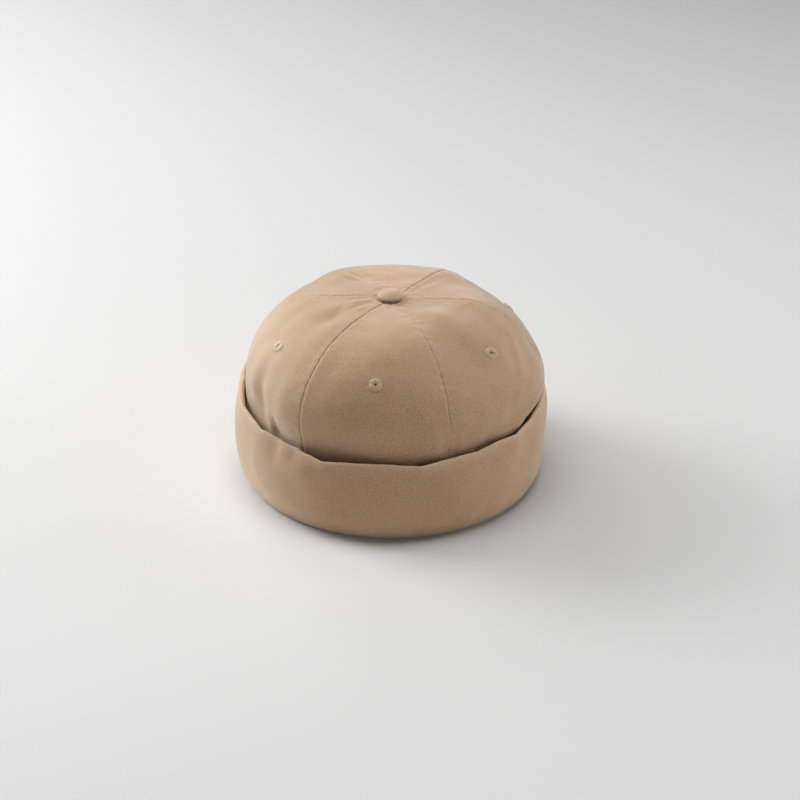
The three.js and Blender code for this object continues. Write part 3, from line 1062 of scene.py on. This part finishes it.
    def piece(self) -> Piece:
        """Closed band: the section carried round the cap, scuffed and given a painted highlight on its
        fold, and given painted shade at its foot.

        Returns:
            The object.
        """
        angle = np.linspace(-180, 180, self.columns, endpoint=False)
        radius, height = self.section(angle)
        points = around(angle[None, :], radius, height)
        closed = np.vstack([points, points[:1]])
        steps = np.linalg.norm(np.diff(closed, axis=0), axis=2).mean(axis=1)
        rise = np.concatenate([[0], np.cumsum(steps)])
        along = np.radians(np.linspace(-180, 180, self.columns + 1)) * self.edge_radius
        uv = np.stack(np.broadcast_arrays(along[None, :], rise[:, None]), axis=-1)
        scuffed_and_highlit = self.fold_scuff_and_highlight.at(np.arange(len(radius))[:, None] - self.wall_rows)
        marks = {
            Mark.WEAR: np.repeat(scuffed_and_highlit, self.columns, axis=1),
            # Painted shade darkens the foot.
            Mark.SHADE: self.foot_shade * (1 - smooth(height, 0.0, self.foot_shade_height)),
        }
        return closed_band("turned_up_cuff", points, uv, marks)

    def build(self) -> None:
        """Make and dress the cuff."""
        dress(self.piece(), CUFF_TWILL.material(), "cuff")

    def declare_cloth(self) -> None:
        """Does nothing: no cut of the band is stated."""


@dataclass
class TopButton:
    """Cloth-covered button over the place where the seams meet."""

    # Dome: share of the radius, millimetres above the seat.
    dome: Rows = (
        (0.0, 5.4), (0.36, 5.1), (0.7, 4.2), (0.92, 2.5), (1.0, 0.5),
    )
    radius: float = 8.4 * MM
    middle: Span = (-1.3 * MM, 0.0)
    oval: float = 0.012
    oval_turn: float = 0.7
    under_share: float = 0.93
    shank_radius: float = 1.8 * MM
    shank_length: float = 3.4 * MM
    shank_ease: Span = (0.8, 1.2)
    tuck_count: int = 9
    tuck_depth: float = 0.1 * MM
    tuck_rise: float = 0.6
    tuck_draw: float = 0.5
    tuck_fade: Span = (0.55, 0.98)
    # Sway of the tucks round the rim: size, waves, phase.
    tuck_sway: Rows = ((1.4, 3, 0.6), (0.9, 5, 0.0))
    # Paler rim from scuffing and a painted highlight; painted shade round the rim, deepest at the front.
    rim_scuff_and_highlight: Bell = Bell(0.25, 0.85, 0.1)
    rim_fade: Span = (0.9, 1.0)
    rim_shade: float = 0.35
    front_rim_shade: float = 0.45
    cells: int = 97

    def piece(self) -> Piece:
        """Closed dome on a square grid bent to a disc, with tucks round its rim and a plain shank below.

        The disc maps a square's u and v to u times the root of 1 less half v squared, and the same for v.

        Returns:
            The object.
        """
        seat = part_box("top_button")[0][2] + self.shank_length
        even = np.linspace(-1, 1, self.cells)
        u, v = np.meshgrid(even, even)
        x = u * np.sqrt(1 - v**2 / 2)
        y = v * np.sqrt(1 - u**2 / 2)
        out = np.minimum(np.hypot(x, y), 1.0)
        turn = np.arctan2(y, x)
        table = np.array(self.dome)
        rows = np.interp(out, table[:, 0], np.linspace(0, 1, len(table)))
        height = spline(table[:, 1:] * MM, rows)[..., 0]
        sway = sum(size * np.sin(waves * turn + phase) for size, waves, phase in self.tuck_sway)
        tuck = np.cos(turn * self.tuck_count + sway)
        depth = self.tuck_depth * smooth(out, *self.tuck_fade)
        height = height + self.tuck_rise * tuck * depth
        reach = self.radius * (1 - self.oval * (1 + np.cos(2 * turn + self.oval_turn)))
        reach = reach - self.tuck_draw * (1 - tuck) * depth
        left, ahead = self.middle
        outer = np.stack([left + x * reach, ahead + y * reach, seat + height], axis=-1)
        under = reach * self.under_share
        shank = [share * self.shank_radius / self.radius for share in self.shank_ease]
        below = seat - self.shank_length * (1 - smooth(out, *shank))
        inner = np.stack([left + x * under, ahead + y * under, below], axis=-1)
        uv = np.stack([x, y], axis=-1) * self.radius
        # The rim is paler from scuffing and painted highlight, and darker from painted shade, most at the
        # front.
        marks = {
            Mark.WEAR: self.rim_scuff_and_highlight.at(out),
            Mark.SHADE: smooth(out, *self.rim_fade) * (self.rim_shade - self.front_rim_shade * np.sin(turn)),
        }
        return closed_sheet("covered_top_button", outer, inner, uv, marks)

    def build(self) -> None:
        """Make and dress the button."""
        dress(self.piece(), BUTTON_TWILL.material(), "top_button")


@dataclass
class Eyelets:
    """Stitched air holes, one on each panel: thread wound over a small ring."""

    crown: Crown
    # Section of the ring, in millimetres: radius, height above the cloth.
    section: Rows = (
        (0.5, -1.7), (0.38, -0.4), (0.52, 0.4), (1.5, 0.85), (2.6, 0.95), (3.7, 0.6), (4.2, 0.05),
        (3.9, -0.5), (2.0, -0.7), (1.7, -1.7),
    )
    stitch_count: int = 27
    stitch_height: float = 0.17 * MM
    stitch_sway: float = 2.0
    sway_waves: tuple[int, ...] = (2, 3, 5)
    sway_sizes: Span = (0.1, 0.32)
    lump_height: float = 0.26 * MM
    lump_waves: tuple[int, ...] = (2, 3, 4, 7)
    lump_sizes: Span = (0.2, 0.5)
    lump_share: float = 0.05
    lump_fade: Span = (2.5 * MM, 4 * MM)
    last_phase: float = 6.3
    top_fade: Span = (-0.3 * MM, 0.5 * MM)
    hole_fade: Span = (0.55 * MM, 0.95 * MM)
    dip_power: float = 1.5
    dip_shade: float = 0.7
    hole_shade: float = 0.8
    map_radius: float = 3 * MM
    map_height: float = 12 * MM
    first_seed: int = 70
    columns: int = 270
    rows: int = 44

    def piece(self, panel: Panel, seed: int) -> Piece:
        """Closed ring: the section carried round its hole, with a ridge for each stitch and soft lumps.

        Args:
            panel: Panel that carries the eyelet.
            seed: Seed of its own irregular stitches.

        Returns:
            The object.
        """
        draw = np.random.default_rng(seed)
        table = np.array(self.section) * MM
        ring = spline(np.vstack([table, table[:1]]), np.linspace(0, 1, self.rows, endpoint=False))
        ring_radius, ring_height = ring[:, :1], ring[:, 1:]
        turn = np.linspace(0, 2 * np.pi, self.columns, endpoint=False)
        sway, lump = (
            sum(draw.uniform(*sizes) * wave(k * turn + draw.uniform(0, self.last_phase)) for k in counts)
            for wave, counts, sizes in (
                (np.sin, self.sway_waves, self.sway_sizes),
                (np.cos, self.lump_waves, self.lump_sizes),
            )
        )
        stitch = np.abs(np.cos((self.stitch_count * turn + self.stitch_sway * sway) / 2))
        shown = smooth(ring_height, *self.top_fade)
        radius = ring_radius * (1 + self.lump_share * lump * smooth(ring_radius, *self.lump_fade))
        height = ring_height + shown * (self.stitch_height * (stitch - 0.5) + self.lump_height * lump)
        origin, axes = self.crown.seat(panel)
        flat = np.stack([radius * np.cos(turn), radius * np.sin(turn), height], axis=-1)
        points = origin + flat @ axes
        wide = np.linspace(0, 2 * np.pi, self.columns + 1)[None, :] * self.map_radius
        tall = np.linspace(0, self.map_height, self.rows + 1)[:, None]
        uv = np.stack(np.broadcast_arrays(wide, tall), axis=-1)
        dip = (1 - stitch) ** self.dip_power * shown
        deep = 1 - smooth(ring_radius, *self.hole_fade)
        shade = np.clip(self.dip_shade * dip + self.hole_shade * deep, 0, 1)
        return closed_band(f"stitched_eyelet_{panel.name}", points[::-1], uv, {Mark.SHADE: shade[::-1]})

    def build(self) -> None:
        """Make and dress the six eyelets."""
        material = EYELET_THREAD.material()
        for seed, panel in enumerate(self.crown.panels, self.first_seed):
            dress(self.piece(panel, seed), material, f"eyelet_{panel.name}")


@dataclass
class Studio:
    """Pale floor, soft light and the camera at the photograph's angle."""

    azimuth: float = 7.0
    elevation: float = 28.5
    distance: float = 1.53
    lens: float = 105.1
    sensor: float = 36.0
    look_at: tuple[float, float, float] = (0.0, 0.0, 0.061)
    aim_right: float = 5.4 * MM
    aim_down: float = 11.3 * MM
    floor_half: float = 6.0
    # Tones of the painted light and shade on the floor round the cap.
    floor_lit: Colour = (0.90, 0.90, 0.90, 1.0)
    floor_shade: Colour = (0.52, 0.52, 0.52, 1.0)
    floor_roughness: float = 0.7
    lit_angle: float = -52.0
    lit_radius: float = 102 * MM
    lit_reach: float = 32 * MM
    far_angle: float = 20.0
    far_slope: float = 0.35
    ambient: float = 0.02
    light_distance: float = 1.6
    light_size: float = 0.8
    # Soft lights: name, angle from the front, elevation, power in watts.
    lights: tuple[tuple[str, float, float, float], ...] = (
        ("left", -108, 25, 18.3), ("left_high", -108, 45, 2.8), ("left_top", -90, 72, 1.3),
        ("left_front", -72, 25, 1.7), ("back_left", -144, 25, 5.0), ("back_top", 180, 72, 6.5),
        ("right_top", 90, 72, 8.0), ("right_low", 108, 10, 7.0), ("front_right_low", 36, 10, 4.4),
    )

    def camera(self) -> None:
        """Place the camera by angle and distance, then aim it a little off the cap's middle."""
        turn = math.radians(self.azimuth)
        back = direction(self.azimuth, self.elevation)
        right = Vector((math.cos(turn), math.sin(turn), 0.0))
        eye = Vector(self.look_at) + back * self.distance
        aim = Vector(self.look_at) + right * self.aim_right - back.cross(right) * self.aim_down
        data = bpy.data.cameras.new("camera")
        data.lens = self.lens
        data.sensor_width = self.sensor
        seen = bpy.data.objects.new("camera", data)
        seen.location = eye
        seen.rotation_euler = (aim - eye).to_track_quat("-Z", "Y").to_euler()
        bpy.context.scene.collection.objects.link(seen)
        bpy.context.scene.camera = seen

    def softbox(self, name: str, azimuth: float, elevation: float, power: float) -> None:
        """Square soft light aimed at the cap.

        Args:
            name: Name of the light.
            azimuth: Angle from the front.
            elevation: Angle above the floor.
            power: Power in watts.
        """
        way = direction(azimuth, elevation)
        data = bpy.data.lights.new(name, "AREA")
        data.size = self.light_size
        data.energy = power
        lamp = bpy.data.objects.new(name, data)
        lamp.location = Vector(self.look_at) + way * self.light_distance
        lamp.rotation_euler = way.to_track_quat("Z", "Y").to_euler()
        bpy.context.scene.collection.objects.link(lamp)

    def floor_material(self) -> Material:
        """Pale floor with painted light beside the cap towards the lamps and painted shade on the far side.

        The painted tone leans with the cosine of the angle from the lit side, and fades away from a ring
        round the cap. Far out the painted tone rises evenly towards the camera.

        Returns:
            The material.
        """
        graph = Graph("pale_floor")
        x, y, _ = graph.axes(graph.solid())
        span = (x * x + y * y) ** 0.5
        lit, far = math.radians(self.lit_angle), math.radians(self.far_angle)
        toward = (x * math.sin(lit) - y * math.cos(lit)) * span**-1.0
        beyond = (span - self.lit_radius) * (1 / self.lit_reach)
        near = (1 + beyond * beyond) ** -2.0
        ahead = x * math.sin(far) - y * math.cos(far)
        share = 0.5 + 0.5 * near * toward + self.far_slope * ahead
        colour = graph.blend(share, self.floor_shade, self.floor_lit)
        return graph.finish({"Base Color": colour, "Roughness": self.floor_roughness})

    def floor(self) -> None:
        """Square floor under the cap."""
        signs = np.array([(-1, -1, 0), (1, -1, 0), (1, 1, 0), (-1, 1, 0)])
        quad = np.array([[0, 1, 2, 3]])
        ground = mesh_object("studio_floor", self.floor_half * signs, quad, np.zeros((1, 4, 2)), {})
        ground.data.materials.append(self.floor_material())

    def build(self) -> None:
        """Set the stage."""
        scene = bpy.context.scene
        scene.view_settings.view_transform = "Standard"
        world = bpy.data.worlds.new("soft_room")
        world.use_nodes = True
        background = world.node_tree.nodes["Background"]
        background.inputs["Color"].default_value = (1.0, 1.0, 1.0, 1.0)
        background.inputs["Strength"].default_value = self.ambient
        scene.world = world
        self.floor()
        for row in self.lights:
            self.softbox(*row)
        self.camera()


def main() -> None:
    """Build the studio and the cap's pieces in order, and note their sizes."""
    logging.basicConfig(level=logging.INFO, format="%(message)s")
    Studio().build()
    crown = Crown()
    crown.build()
    cuff = Cuff()
    cuff.build()
    TopButton().build()
    Eyelets(crown).build()
    crown.declare_cloth()
    cuff.declare_cloth()


if __name__ == "__main__":
    main()
